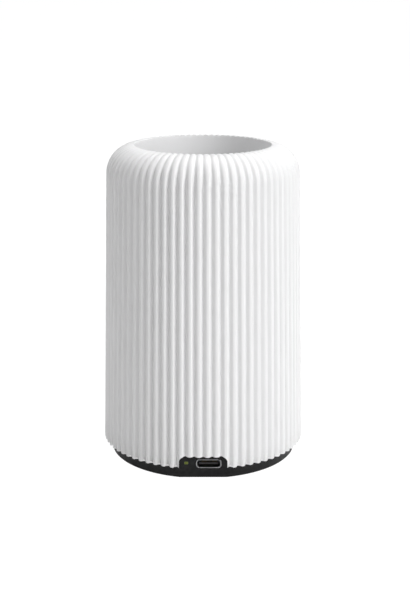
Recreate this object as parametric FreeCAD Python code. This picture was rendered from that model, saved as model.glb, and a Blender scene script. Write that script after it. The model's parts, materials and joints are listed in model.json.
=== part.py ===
"""Mesh Wi-Fi node: a fluted tower that stands on a black base, with a deep air well in its top.

The frame: +Z is up, the origin is on the tower's axis in the plane it stands on, and the power
socket faces -Y. Angles are counted from -Y towards +X. Everything is in millimetres.
"""
import FreeCAD
import Part
import math
import os
from FreeCAD import Vector

# ---------------------------------------------------------------- driving dimensions
TOP_Z = 114.1            # rim of the air well above the table
FOOT_PROUD = 0.35        # the base hovers this far above the table, on its rubber ring

# fluted shell
SHELL_BOTTOM_Z = 5.0
SHELL_BOTTOM_R = 37.0    # over the crests, at the bottom edge
SHELL_DRAFT = math.radians(1.43)
SHELL_WALL = 2.5
RIM_R = 24.3             # mouth of the air well
FLUTE_COUNT = 72
FLUTE_HALF_WIDTH = 1.5
FLUTE_DEPTH = 1.1
FLUTE_VALLEY_R = 0.7
FLUTE_STAND_OFF = 0.03   # lifts the flutes off the crests, which stay round
FLUTE_FADE = 0.48        # the flutes are this much shallower at the rim
FLUTE_RIM_OVERRUN = 0.4  # they run this far past the rim
COLLAR_WALL = 1.8
COLLAR_LENGTH = 16.0
NOTCH_HALF_WIDTH = 8.55
NOTCH_TOP_Z = 9.4
NOTCH_CORNER_R = 2.2

# base tray
BASE_R = 34.0
BASE_WALL = 1.8
BASE_FLOOR = 1.85
BASE_TOP_Z = 14.0
BASE_CHAMFER = 0.35
FLAT_Y = -32.6           # face of the flat that carries the socket
FLAT_WALL = 1.6
POST_R = 2.9
SCREW_RING_R = 26.0      # shell screws and frame screws stand on this circle
SHELL_POST_ANGLES = (45.0, 135.0, 225.0, 315.0)
FRAME_POST_ANGLES = (90.0, 270.0)
SHELL_POST_TOP_Z = 17.9
FRAME_POST_TOP_Z = 8.0
SCREW_HEAD_R = 2.2
SCREW_SHANK_R = 1.15
HEAD_SEAT_Z = 3.4
VENT_ANGLES = range(110, 251, 10)
VENT_INNER_R = 13.0
VENT_OUTER_R = 22.5
VENT_WIDTH = 1.5

# foot ring
FOOT_INNER_R = 28.7
FOOT_OUTER_R = 30.8
FOOT_RECESS = 0.75
FOOT_SIDE_GAP = 0.1

# power socket (24-contact reversible type) and status light
PORT_X = 1.98
PORT_Z = 5.4
PORT_WIDTH = 8.94
PORT_HEIGHT = 3.26
PORT_WALL = 0.3
PORT_DEPTH = 7.35
PORT_HOLE_GAP = 0.15
TONGUE_WIDTH = 6.69
TONGUE_THICKNESS = 0.7
CONTACTS_PER_ROW = 12
CONTACT_PITCH = 0.5
CONTACT_WIDTH = 0.24
LIGHT_X = -5.98
LIGHT_Z = 5.71
LIGHT_WIDTH = 1.35
LIGHT_HEIGHT = 0.95

# boards
BOARD_T = 1.0
POWER_BOARD_TOP_Z = PORT_Z - PORT_HEIGHT / 2
POWER_BOARD_FRONT_Y = -30.8
POWER_BOARD_BACK_Y = -1.0
POWER_BOARD_HALF_X = 21.5
MAIN_BOARD_T = 1.6
MAIN_BOARD_FRONT_Y = -6.0
MAIN_BOARD_HALF_X = 22.0
MAIN_BOARD_BOTTOM_Z = 9.0
MAIN_BOARD_TOP_Z = 78.0
EDGE_TAB_HALF_X = 12.0
EDGE_TAB_BOTTOM_Z = 5.2
FIT_GAP = 0.05

# reset key
KEY_X = 17.0
KEY_Y = -7.9
KEY_CAP_R = 2.0
KEY_HOLE_R = 2.15
KEY_TOP_Z = 11.0
KEY_TRAVEL = 0.5

# air well
WELL_TOP_R = 24.2
WELL_FLOOR_R = 23.6
WELL_FLOOR_Z = 84.0
WELL_OUTER_R = 27.6
GRILLE_T = 1.8

# inner frame that carries the boards and antennas
FRAME_INNER_R = 29.0
FRAME_OUTER_R = 30.5
FRAME_BOTTOM_Z = 30.0
FRAME_TOP_Z = 99.0

# heat sink
SINK_HALF_X = 19.0
SINK_BOTTOM_Z = 30.0
SINK_TOP_Z = 76.0
SINK_PLATE_T = 3.0
SINK_FIN_DEPTH = 16.0
SINK_FIN_T = 1.2
SINK_FIN_COUNT = 9
CHIP_T = 1.4
PAD_T = 0.5
CHIP_Z = 53.0

# antenna leads
COAX_R = 0.57
LEAD_PLUG_X = 18.0
LEAD_PLUG_Z = 50.3

# ---------------------------------------------------------------- derived places
BASE_BOTTOM_Z = FOOT_PROUD
BASE_FLOOR_TOP_Z = BASE_BOTTOM_Z + BASE_FLOOR
POWER_BOARD_BOTTOM_Z = POWER_BOARD_TOP_Z - BOARD_T
MAIN_BOARD_BACK_Y = MAIN_BOARD_FRONT_Y + MAIN_BOARD_T
COLLAR_BOTTOM_Z = TOP_Z - COLLAR_LENGTH
SINK_FACE_Y = MAIN_BOARD_BACK_Y + CHIP_T + PAD_T
SINK_SCREWS = [(x, z) for x in (-16.0, 16.0) for z in (34.0, 72.0)]
BOARD_SCREWS = [(-11.0, -26.5), (11.0, -26.5), (-17.5, -4.5)]


# ---------------------------------------------------------------- small helpers
def box(x0, x1, y0, y1, z0, z1):
    """A block between two corners."""
    return Part.makeBox(x1 - x0, y1 - y0, z1 - z0, Vector(x0, y0, z0))


def rod(radius, z0, z1, x=0.0, y=0.0):
    """An upright cylinder."""
    return Part.makeCylinder(radius, z1 - z0, Vector(x, y, z0))


def rod_y(radius, y0, y1, x, z):
    """A cylinder along +Y."""
    return Part.makeCylinder(radius, y1 - y0, Vector(x, y0, z), Vector(0, 1, 0))


def ring(inner, outer, z0, z1):
    """A flat ring about the tower's axis."""
    return rod(outer, z0, z1).cut(rod(inner, z0, z1))


def polar(radius, angle, z=0.0):
    """A point at an angle in degrees, counted from -Y towards +X."""
    a = math.radians(angle)
    return Vector(radius * math.sin(a), -radius * math.cos(a), z)


def turned(shape, angle):
    """A copy of a shape built at -Y, turned to an angle."""
    copy = shape.copy()
    copy.rotate(Vector(0, 0, 0), Vector(0, 0, 1), angle)
    return copy


def revolved(edges):
    """A solid of revolution from a closed outline in the XZ plane."""
    face = Part.Face(Part.Wire(edges))
    return face.revolve(Vector(0, 0, 0), Vector(0, 0, 1), 360)


def polyline(points):
    """Straight edges through (radius, z) points."""
    at = [Vector(r, 0, z) for r, z in points]
    return [Part.LineSegment(a, b).toShape() for a, b in zip(at, at[1:])]


def rounded_face(width, height, corner, x, y, z):
    """An upright face in a plane of constant Y, centred on (x, z), with round corners."""
    w, h, c = width / 2, height / 2, corner
    edges = []
    for sx, sz, start in ((1, 1, 0), (-1, 1, 90), (-1, -1, 180), (1, -1, 270)):
        centre = Vector(x + sx * (w - c), y, z + sz * (h - c))
        turn = [math.radians(start + step) for step in (0, 45, 90)]
        points = [centre + Vector(c * math.cos(t), 0, c * math.sin(t)) for t in turn]
        edges.append(Part.Arc(*points).toShape())
    links = []
    for edge, following in zip(edges, edges[1:] + edges[:1]):
        links.append(edge)
        links.append(Part.LineSegment(edge.lastVertex().Point, following.firstVertex().Point).toShape())
    return Part.Face(Part.Wire(links))


def route(points):
    """A wire of straight runs joined by tangent arcs, each as large as its two runs allow."""
    edges = []
    start = points[0]
    for before, corner, after in zip(points, points[1:], points[2:]):
        run_in, run_out = corner - before, after - corner
        turn = run_in.getAngle(run_out)
        trim = 0.45 * min(run_in.Length, run_out.Length)
        radius = trim / math.tan(turn / 2)
        to_in, to_out = -run_in.normalize(), run_out.normalize()
        first, last = corner + to_in * trim, corner + to_out * trim
        bisector = (to_in + to_out).normalize()
        middle = corner + bisector * (radius / math.cos(turn / 2) - radius)
        edges.append(Part.LineSegment(start, first).toShape())
        edges.append(Part.Arc(first, middle, last).toShape())
        start = last
    edges.append(Part.LineSegment(start, points[-1]).toShape())
    return Part.Wire(edges)


def swept(path, radius):
    """A round bar along a wire."""
    edge = path.Edges[0]
    heading = edge.tangentAt(edge.FirstParameter)
    circle = Part.Circle(path.OrderedVertexes[0].Point, heading, radius).toShape()
    return path.makePipeShell([Part.Wire(circle)], True, False)


def save(name, *solids):
    """Writes one node; several solids stay separate inside it."""
    shape = solids[0] if len(solids) == 1 else Part.makeCompound(list(solids))
    for solid in shape.Solids:
        if not solid.isValid() or solid.Volume <= 0:
            raise ValueError("bad solid in " + name)
    shape.exportStep("parts/" + name + ".step")
    print(f"{name:24s} {len(shape.Solids):3d} solids {shape.Volume:10.1f} mm3")


# ---------------------------------------------------------------- fluted shell
def shoulder_radius(offset=0.0, lift=0.0):
    """Radius of the shoulder, tangent to the drafted wall (or an offset of it) and level at the rim."""
    s, c = math.sin(SHELL_DRAFT), math.cos(SHELL_DRAFT)
    reach = (SHELL_BOTTOM_R - RIM_R) * c + (SHELL_BOTTOM_Z - TOP_Z - lift) * s + offset
    return reach / (1 - s)


def wall_radius(z, inwards=0.0):
    """Radius of the shell's crest surface at a height, or of a surface offset inwards."""
    return SHELL_BOTTOM_R - (z - SHELL_BOTTOM_Z) * math.tan(SHELL_DRAFT) - inwards / math.cos(SHELL_DRAFT)


def shoulder_point(radius, elevation, raised=0.0):
    """A point of a shoulder arc, at an elevation angle in degrees."""
    centre_z = TOP_Z - shoulder_radius() + raised
    e = math.radians(elevation)
    return Vector(RIM_R + radius * math.cos(e), 0, centre_z + radius * math.sin(e))


def shoulder_arc(radius, low, high, raised=0.0):
    """An arc about the shoulder's centre, from one elevation to another."""
    points = [shoulder_point(radius, e, raised) for e in (low, (low + high) / 2, high)]
    return Part.Arc(*points).toShape()


def shell_blank():
    """The shell before its flutes: drafted wall, round shoulder and re-entrant collar."""
    radius = shoulder_radius()
    draft = math.degrees(SHELL_DRAFT)
    inner = radius - SHELL_WALL
    collar_outer = RIM_R + COLLAR_WALL
    collar_elevation = math.degrees(math.acos(COLLAR_WALL / inner))
    outer_foot = Vector(SHELL_BOTTOM_R, 0, SHELL_BOTTOM_Z)
    inner_foot = Vector(wall_radius(SHELL_BOTTOM_Z, SHELL_WALL), 0, SHELL_BOTTOM_Z)
    outer_top = shoulder_point(radius, draft)
    inner_top = shoulder_point(inner, draft)
    collar_top = shoulder_point(inner, collar_elevation)
    rim = Vector(RIM_R, 0, TOP_Z)
    collar_in = Vector(RIM_R, 0, COLLAR_BOTTOM_Z)
    collar_out = Vector(collar_outer, 0, COLLAR_BOTTOM_Z)
    return revolved([
        Part.LineSegment(inner_foot, outer_foot).toShape(),
        Part.LineSegment(outer_foot, outer_top).toShape(),
        shoulder_arc(radius, draft, 90),
        Part.LineSegment(rim, collar_in).toShape(),
        Part.LineSegment(collar_in, collar_out).toShape(),
        Part.LineSegment(collar_out, collar_top).toShape(),
        shoulder_arc(inner, collar_elevation, draft),
        Part.LineSegment(inner_top, inner_foot).toShape(),
    ])


def flute_profile(origin, outward):
    """The outline of one flute, square to its path: a hollow that rolls over into both crests."""
    w, d, valley = FLUTE_HALF_WIDTH, FLUTE_DEPTH, FLUTE_VALLEY_R
    both = (w * w + d * d) / (2 * d)
    crest = both - valley
    swing = math.asin(w / both)
    join = (valley * math.sin(swing), valley - d - valley * math.cos(swing))
    roll = (w - crest * math.sin(swing / 2), crest * math.cos(swing / 2) - crest)

    def at(u, v):
        return origin + Vector(0, u, 0) + outward * v

    def mirrored(point):
        return at(-point[0], point[1])

    edges = [
        Part.Arc(mirrored((w, 0)), mirrored(roll), mirrored(join)).toShape(),
        Part.Arc(mirrored(join), at(0, -d), at(*join)).toShape(),
        Part.Arc(at(*join), at(*roll), at(w, 0)).toShape(),
    ]
    corners = [at(w, 0), at(w, 0.6), at(-w, 0.6), at(-w, 0)]
    edges += [Part.LineSegment(p, q).toShape() for p, q in zip(corners, corners[1:])]
    return Part.Wire(edges)


def flute_cutter():
    """One flute: it runs up the wall, over the shoulder where it gets shallower, and past the rim."""
    lift = FLUTE_STAND_OFF + FLUTE_FADE
    radius = shoulder_radius(FLUTE_STAND_OFF, lift)
    raised = lift - radius + shoulder_radius()
    draft = math.degrees(SHELL_DRAFT)
    start_z = SHELL_BOTTOM_Z - 1.0
    start = Vector(wall_radius(start_z, -FLUTE_STAND_OFF), 0, start_z)
    top = shoulder_point(radius, 90, raised)
    path = Part.Wire([
        Part.LineSegment(start, shoulder_point(radius, draft, raised)).toShape(),
        shoulder_arc(radius, draft, 90, raised),
        Part.LineSegment(top, top - Vector(FLUTE_RIM_OVERRUN, 0, 0)).toShape(),
    ])
    outward = Vector(math.cos(SHELL_DRAFT), 0, math.sin(SHELL_DRAFT))
    return path.makePipeShell([flute_profile(start, outward)], True, False)


def shell_lug(angle):
    """A screw boss on the shell's inner wall."""
    low, high = SHELL_POST_TOP_Z + 0.1, SHELL_POST_TOP_Z + 10.0
    at = polar(SCREW_RING_R, 0)
    lug = rod(3.0, low, high, at.x, at.y)
    lug = lug.fuse(box(-1.25, 1.25, -wall_radius(high, SHELL_WALL / 2), at.y, low, high))
    lug = lug.cut(rod(0.95, low - 1, high - 1.5, at.x, at.y))
    return turned(lug, angle)


def notch_cutter():
    """The opening at the shell's foot that frames the socket."""
    height = NOTCH_TOP_Z - SHELL_BOTTOM_Z + 8.0
    face = rounded_face(2 * NOTCH_HALF_WIDTH, height, NOTCH_CORNER_R, 0, -45, NOTCH_TOP_Z - height / 2)
    return face.extrude(Vector(0, 16, 0))


def outer_shell():
    """The white fluted shell, one moulding with its collar and lugs."""
    shell = shell_blank()
    for angle in SHELL_POST_ANGLES:
        shell = shell.fuse(shell_lug(angle))
    cutter = flute_cutter()
    step = 360.0 / FLUTE_COUNT
    flutes = [turned(cutter, 90.0 + step * i) for i in range(FLUTE_COUNT)]
    return shell.cut(flutes + [notch_cutter()])


# ---------------------------------------------------------------- air well
def air_well():
    """The smooth liner below the collar, with a lap joint and a flange that rests on the frame."""
    top = COLLAR_BOTTOM_Z - 0.1
    lap_inner = RIM_R + COLLAR_WALL + 0.2
    flange_z = FRAME_TOP_Z + FIT_GAP
    outline = [
        (WELL_TOP_R, top), (WELL_FLOOR_R, WELL_FLOOR_Z), (WELL_OUTER_R, WELL_FLOOR_Z),
        (WELL_OUTER_R, flange_z), (FRAME_OUTER_R - 0.1, flange_z), (FRAME_OUTER_R - 0.1, flange_z + 1.5),
        (WELL_OUTER_R, flange_z + 1.5), (WELL_OUTER_R, top + 8.0), (lap_inner, top + 8.0),
        (lap_inner, top), (WELL_TOP_R, top),
    ]
    return revolved(polyline(outline))


def vent_grille():
    """The slotted disc that closes the well from below."""
    low = WELL_FLOOR_Z - GRILLE_T
    disc = rod(WELL_OUTER_R, low, WELL_FLOOR_Z)
    slots = []
    for count, inner, outer in ((12, 5.0, 11.0), (24, 12.8, 20.5)):
        slot = box(-0.9, 0.9, -outer, -inner, low - 1, WELL_FLOOR_Z + 1)
        slots += [turned(slot, 360.0 / count * i) for i in range(count)]
    return disc.cut(slots)


# ---------------------------------------------------------------- base
def screw_post(angle, top):
    """A hollow post that a screw passes through from below."""
    at = polar(SCREW_RING_R, angle)
    return rod(POST_R, BASE_FLOOR_TOP_Z, top, at.x, at.y)


def screw_passage(angle, top):
    """The counterbore and clearance hole of a screw post."""
    at = polar(SCREW_RING_R, angle)
    head = rod(SCREW_HEAD_R + 0.2, BASE_BOTTOM_Z - 1, HEAD_SEAT_Z, at.x, at.y)
    return head.fuse(rod(SCREW_SHANK_R + 0.2, BASE_BOTTOM_Z, top + 1, at.x, at.y))


def base_tray():
    """The black base: floor, wall, flat with socket opening, posts, vents and foot recess."""
    c = BASE_CHAMFER
    inner = BASE_R - BASE_WALL
    tray = revolved(polyline([
        (0, BASE_BOTTOM_Z), (BASE_R - c, BASE_BOTTOM_Z), (BASE_R, BASE_BOTTOM_Z + c),
        (BASE_R, BASE_TOP_Z), (inner, BASE_TOP_Z), (inner, BASE_FLOOR_TOP_Z),
        (0, BASE_FLOOR_TOP_Z), (0, BASE_BOTTOM_Z),
    ]))
    half_chord = math.sqrt(BASE_R ** 2 - FLAT_Y ** 2)
    backing = box(-half_chord, half_chord, FLAT_Y, FLAT_Y + FLAT_WALL, BASE_FLOOR_TOP_Z, BASE_TOP_Z)
    solids = [backing]
    solids += [screw_post(a, SHELL_POST_TOP_Z) for a in SHELL_POST_ANGLES]
    solids += [screw_post(a, FRAME_POST_TOP_Z) for a in FRAME_POST_ANGLES]
    solids += [rod(1.8, BASE_FLOOR_TOP_Z, POWER_BOARD_BOTTOM_Z, x, y) for x, y in BOARD_SCREWS]
    tray = tray.fuse(solids)
    front = box(-20, 20, -40, FLAT_Y, 0, 20)
    bevel = box(-20, 20, -c, 0, -c, 0)
    bevel.rotate(Vector(0, 0, 0), Vector(1, 0, 0), 45)
    bevel.translate(Vector(0, FLAT_Y, BASE_BOTTOM_Z))
    gap = 2 * PORT_HOLE_GAP
    port = rounded_face(PORT_WIDTH + gap, PORT_HEIGHT + gap, 1.3, PORT_X, FLAT_Y - 1, PORT_Z)
    light = rounded_face(LIGHT_WIDTH + 0.1, LIGHT_HEIGHT + 0.1, 0.15, LIGHT_X, FLAT_Y - 1, LIGHT_Z)
    tools = [front, bevel]
    tools += [face.extrude(Vector(0, FLAT_WALL + 2, 0)) for face in (port, light)]
    tools += [screw_passage(a, SHELL_POST_TOP_Z) for a in SHELL_POST_ANGLES]
    tools += [screw_passage(a, FRAME_POST_TOP_Z) for a in FRAME_POST_ANGLES]
    tools += [rod(0.8, 1.3, POWER_BOARD_TOP_Z, x, y) for x, y in BOARD_SCREWS]
    tools.append(rod(KEY_HOLE_R, 0, 5, KEY_X, KEY_Y))
    tools.append(ring(FOOT_INNER_R - FOOT_SIDE_GAP, FOOT_OUTER_R + FOOT_SIDE_GAP, 0, BASE_BOTTOM_Z + FOOT_RECESS))
    slot = box(-VENT_WIDTH / 2, VENT_WIDTH / 2, -VENT_OUTER_R, -VENT_INNER_R, 0, 5)
    tools += [turned(slot, a) for a in VENT_ANGLES]
    return tray.cut(tools)


def rubber_foot():
    """The ring that the node stands on."""
    return ring(FOOT_INNER_R, FOOT_OUTER_R, 0, BASE_BOTTOM_Z + FOOT_RECESS)


def case_screw(angle, length):
    """A pan-head screw, driven up through the base."""
    at = polar(SCREW_RING_R, angle)
    head = rod(SCREW_HEAD_R, HEAD_SEAT_Z - 1.6, HEAD_SEAT_Z, at.x, at.y)
    cross = box(-1.2, 1.2, -0.25, 0.25, HEAD_SEAT_Z - 2, HEAD_SEAT_Z - 0.8)
    cross = cross.fuse(turned(cross, 90))
    cross.translate(Vector(at.x, at.y, 0))
    return head.cut(cross).fuse(rod(0.9, HEAD_SEAT_Z - 0.5, HEAD_SEAT_Z + length, at.x, at.y))


# ---------------------------------------------------------------- power socket and light
def port_shell():
    """The drawn steel shell of the socket, flush with the flat."""
    outer = rounded_face(PORT_WIDTH, PORT_HEIGHT, 1.25, PORT_X, FLAT_Y, PORT_Z)
    inner = rounded_face(PORT_WIDTH - 2 * PORT_WALL, PORT_HEIGHT - 2 * PORT_WALL, 1.0, PORT_X, FLAT_Y, PORT_Z)
    depth = Vector(0, PORT_DEPTH, 0)
    return outer.extrude(depth).cut(inner.extrude(depth))


def port_insulator():
    """The black block at the back of the socket and the tongue that stands out of it."""
    back = FLAT_Y + PORT_DEPTH
    width, height = PORT_WIDTH - 2 * PORT_WALL, PORT_HEIGHT - 2 * PORT_WALL
    block = rounded_face(width, height, 1.0, PORT_X, back - 1.2, PORT_Z).extrude(Vector(0, 1.2, 0))
    tongue = box(PORT_X - TONGUE_WIDTH / 2, PORT_X + TONGUE_WIDTH / 2, FLAT_Y + 0.6, back,
                 PORT_Z - TONGUE_THICKNESS / 2, PORT_Z + TONGUE_THICKNESS / 2)
    return block.fuse(tongue).removeSplitter()


def port_contacts():
    """Twelve flat contacts on each face of the tongue."""
    thickness = 0.08
    first = PORT_X - CONTACT_PITCH * (CONTACTS_PER_ROW - 1) / 2
    contacts = []
    for side in (-1, 1):
        face = PORT_Z + side * TONGUE_THICKNESS / 2
        low, high = sorted((face, face + side * thickness))
        for i in range(CONTACTS_PER_ROW):
            x = first + CONTACT_PITCH * i
            contacts.append(box(x - CONTACT_WIDTH / 2, x + CONTACT_WIDTH / 2,
                                FLAT_Y + 1.0, FLAT_Y + 5.2, low, high))
    return contacts


def light_guide():
    """The clear piece that carries the status light from the board to the flat."""
    back = FLAT_Y + FLAT_WALL
    window = rounded_face(LIGHT_WIDTH, LIGHT_HEIGHT, 0.12, LIGHT_X, FLAT_Y, LIGHT_Z)
    block = box(LIGHT_X - 1.1, LIGHT_X + 1.1, back, back + 1.0, POWER_BOARD_TOP_Z + 0.1, LIGHT_Z + 0.9)
    return window.extrude(Vector(0, FLAT_WALL + 0.1, 0)).fuse(block)


def status_led():
    """The side-emitting lamp behind the light guide."""
    y = FLAT_Y + FLAT_WALL + 1.05
    return box(LIGHT_X - 0.8, LIGHT_X + 0.8, y, y + 1.0, POWER_BOARD_TOP_Z, POWER_BOARD_TOP_Z + 1.0)


# ---------------------------------------------------------------- power board
def power_board():
    """The lower board, shaped to the base and notched around the posts."""
    board = box(-POWER_BOARD_HALF_X, POWER_BOARD_HALF_X, POWER_BOARD_FRONT_Y, POWER_BOARD_BACK_Y,
                POWER_BOARD_BOTTOM_Z, POWER_BOARD_TOP_Z)
    board = board.common(rod(BASE_R - BASE_WALL - 0.4, 0, 10))
    low, high = POWER_BOARD_BOTTOM_Z - 1, POWER_BOARD_TOP_Z + 1
    tools = [rod(1.05, low, high, x, y) for x, y in BOARD_SCREWS]
    tools.append(rod(3.2, low, high, KEY_X, KEY_Y))
    for angle in SHELL_POST_ANGLES:
        at = polar(SCREW_RING_R, angle)
        tools.append(rod(POST_R + 0.4, low, high, at.x, at.y))
    return board.cut(tools)


def board_screw(x, y):
    """A small screw that holds the power board down."""
    head = rod(1.7, POWER_BOARD_TOP_Z, POWER_BOARD_TOP_Z + 1.1, x, y)
    return head.fuse(rod(0.75, 1.5, POWER_BOARD_TOP_Z + 0.5, x, y))


def power_chip():
    """The converter chip."""
    return box(-3.0, 1.0, -20.5, -16.5, POWER_BOARD_TOP_Z, POWER_BOARD_TOP_Z + 0.9)


def power_inductor():
    """The moulded choke of the converter."""
    return box(4.0, 10.6, -21.5, -14.9, POWER_BOARD_TOP_Z, POWER_BOARD_TOP_Z + 3.0)


def filter_capacitors():
    """Two polymer cans."""
    low = POWER_BOARD_TOP_Z
    return [rod(2.5, low, low + 5.4, x, -18.2) for x in (-12.4, -6.9)]


def board_socket():
    """The card-edge socket that joins the two boards."""
    y0, y1 = MAIN_BOARD_FRONT_Y - 2.0, MAIN_BOARD_BACK_Y + 2.0
    socket = box(-14, 14, y0, y1, POWER_BOARD_TOP_Z, MAIN_BOARD_BOTTOM_Z)
    slot = box(-EDGE_TAB_HALF_X - FIT_GAP, EDGE_TAB_HALF_X + FIT_GAP, MAIN_BOARD_FRONT_Y - FIT_GAP,
               MAIN_BOARD_BACK_Y + FIT_GAP, EDGE_TAB_BOTTOM_Z - 0.1, MAIN_BOARD_BOTTOM_Z + 1)
    return socket.cut(slot)


# ---------------------------------------------------------------- main board
def main_board():
    """The upright board with its edge tab and the holes for the heat sink screws."""
    y0, y1 = MAIN_BOARD_FRONT_Y, MAIN_BOARD_BACK_Y
    board = box(-MAIN_BOARD_HALF_X, MAIN_BOARD_HALF_X, y0, y1, MAIN_BOARD_BOTTOM_Z, MAIN_BOARD_TOP_Z)
    board = board.fuse(box(-EDGE_TAB_HALF_X, EDGE_TAB_HALF_X, y0, y1, EDGE_TAB_BOTTOM_Z, MAIN_BOARD_BOTTOM_Z))
    return board.removeSplitter().cut([rod_y(1.1, y0 - 1, y1 + 1, x, z) for x, z in SINK_SCREWS])


def chip(x, z, width, height, thickness=CHIP_T):
    """A chip package on the back of the main board."""
    y = MAIN_BOARD_BACK_Y
    return box(x - width / 2, x + width / 2, y, y + thickness, z - height / 2, z + height / 2)


def pad(x, z, width, height):
    """A soft thermal pad between a chip and the heat sink."""
    y = MAIN_BOARD_BACK_Y + CHIP_T
    return box(x - width / 2, x + width / 2, y, y + PAD_T, z - height / 2, z + height / 2)


def shield_can(x, z, width, height, depth=2.2, wall=0.25):
    """A tinned can over a radio section, open towards the front of the board."""
    y = MAIN_BOARD_FRONT_Y
    can = box(x - width / 2, x + width / 2, y - depth, y, z - height / 2, z + height / 2)
    inside = box(x - width / 2 + wall, x + width / 2 - wall, y - depth + wall, y,
                 z - height / 2 + wall, z + height / 2 - wall)
    return can.cut(inside)


def memory_chips():
    """Working memory and flash, on the front of the board."""
    y = MAIN_BOARD_FRONT_Y
    return [box(x, x + 8.0, y - 1.0, y, 15.0, 28.0) for x in (-10.0, 2.0)]


def stamped_antenna(side):
    """A bent metal antenna at an upper corner of the board."""
    x0, x1 = sorted((side * 7.0, side * 20.0))
    y = MAIN_BOARD_FRONT_Y
    plate = box(x0, x1, y - 5.0, y, 76.5, 76.8)
    lip = box(x0, x1, y - 5.0, y - 4.7, 72.5, 76.5)
    return plate.fuse(lip)


def heat_sink():
    """Extruded sink with upright fins, its back plate on the pads and four tapped feet."""
    y0, y1 = SINK_FACE_Y, SINK_FACE_Y + SINK_PLATE_T
    sink = box(-SINK_HALF_X, SINK_HALF_X, y0, y1, SINK_BOTTOM_Z, SINK_TOP_Z)
    pitch = (2 * SINK_HALF_X - SINK_FIN_T) / (SINK_FIN_COUNT - 1)
    fins = []
    for i in range(SINK_FIN_COUNT):
        x = -SINK_HALF_X + pitch * i
        fins.append(box(x, x + SINK_FIN_T, y1, y1 + SINK_FIN_DEPTH, SINK_BOTTOM_Z, SINK_TOP_Z))
    feet = [rod_y(2.2, MAIN_BOARD_BACK_Y, y0, x, z) for x, z in SINK_SCREWS]
    sink = sink.fuse(fins + feet).removeSplitter()
    return sink.cut([rod_y(0.85, MAIN_BOARD_BACK_Y - 1, y0 + 2.2, x, z) for x, z in SINK_SCREWS])


def sink_screw(x, z):
    """A screw through the board into a foot of the heat sink."""
    face = MAIN_BOARD_FRONT_Y
    return rod_y(1.8, face - 1.2, face, x, z).fuse(rod_y(0.8, face - 0.4, face + 5.0, x, z))


# ---------------------------------------------------------------- inner frame and antennas
def frame_leg(side):
    """A leg that stands on a frame post of the base."""
    leg = rod(POST_R, FRAME_POST_TOP_Z, 33.0, side * SCREW_RING_R, 0)
    x0, x1 = sorted((side * SCREW_RING_R, side * 32.0))
    leg = leg.fuse(box(x0, x1, -1.5, 1.5, FRAME_POST_TOP_Z, 33.0))
    leg = leg.common(rod(FRAME_OUTER_R, 0, 40))
    return leg.cut(rod(0.95, FRAME_POST_TOP_Z - 1, 19.0, side * SCREW_RING_R, 0))


def frame_rail(side):
    """The grooved rail that holds an edge of the main board."""
    x0, x1 = sorted((side * 20.8, side * 29.5))
    rail = box(x0, x1, MAIN_BOARD_FRONT_Y - 2.0, MAIN_BOARD_BACK_Y + 2.0, 30.0, 77.0)
    rail = rail.common(rod(FRAME_OUTER_R - 0.5, 0, 90))
    x0, x1 = sorted((side * 20.0, side * (MAIN_BOARD_HALF_X + FIT_GAP)))
    return rail.cut(box(x0, x1, MAIN_BOARD_FRONT_Y - FIT_GAP, MAIN_BOARD_BACK_Y + FIT_GAP, 29.0, 79.0))


def frame_window(middle, spread, z0, z1):
    """A wedge that opens the frame's wall between two angles."""
    reach = 40.0
    half = spread / 2
    points = [Vector(0, 0, z0), polar(reach, middle - half, z0), polar(reach, middle, z0),
              polar(reach, middle + half, z0), Vector(0, 0, z0)]
    wedge = Part.Face(Part.makePolygon(points)).extrude(Vector(0, 0, z1 - z0))
    return wedge.cut(rod(FRAME_INNER_R - 1.0, z0 - 1, z1 + 1))


def inner_frame():
    """The cage that carries the main board and the two flexible antennas."""
    tube = ring(FRAME_INNER_R, FRAME_OUTER_R, FRAME_BOTTOM_Z, FRAME_TOP_Z)
    windows = [frame_window(0, 76, 36, 93), frame_window(180, 66, 36, 93)]
    windows += [frame_window(a, 30, 36, 93) for a in (120, 240)]
    windows += [frame_window(a, 30, 36, 60) for a in (60, 300)]
    tube = tube.cut(windows)
    return tube.fuse([frame_leg(1), frame_leg(-1), frame_rail(1), frame_rail(-1)]).removeSplitter()


def flex_antenna(side):
    """A curved flexible antenna on the outside of the frame, with its two slots."""
    sheet = ring(FRAME_OUTER_R, FRAME_OUTER_R + 0.25, 66.0, 94.0)
    wedge = frame_window(60, 40, 66.0, 94.0)
    slots = [frame_window(54, 18, 84.0, 86.0), frame_window(66, 18, 75.0, 77.0)]
    sheet = sheet.common(wedge).cut(slots)
    return sheet if side > 0 else sheet.mirror(Vector(0, 0, 0), Vector(1, 0, 0))


def lead_points(side):
    """Corners of an antenna lead, from the antenna's feed down and in to the main board."""
    feed = [polar(31.34, 46, 69), polar(31.6, 45, 61.5), polar(31.6, 22, 56.0)]
    inside = [Vector(14.5, -17.6, 60.5), Vector(LEAD_PLUG_X, -7.9, 59.5), Vector(LEAD_PLUG_X, -7.9, 51.8)]
    return [Vector(side * p.x, p.y, p.z) for p in feed + inside]


def antenna_lead(side):
    """A thin coaxial lead."""
    return swept(route(lead_points(side)), COAX_R)


def lead_socket(side):
    """The board half of a snap-on radio connector."""
    x, z, y = side * LEAD_PLUG_X, LEAD_PLUG_Z, MAIN_BOARD_FRONT_Y
    return box(x - 1.3, x + 1.3, y - 0.5, y, z - 1.3, z + 1.3).fuse(rod_y(0.9, y - 1.2, y, x, z))


def lead_plug(side):
    """The lead's half of the connector, with its crimp towards the lead."""
    x, z, y = side * LEAD_PLUG_X, LEAD_PLUG_Z, MAIN_BOARD_FRONT_Y
    cap = rod_y(1.3, y - 2.5, y - 0.55, x, z).cut(rod_y(0.95, y - 1.25, y - 0.5, x, z))
    return cap.fuse(box(x - 0.7, x + 0.7, y - 2.5, y - 1.3, z + 0.9, z + 1.5))


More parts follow.
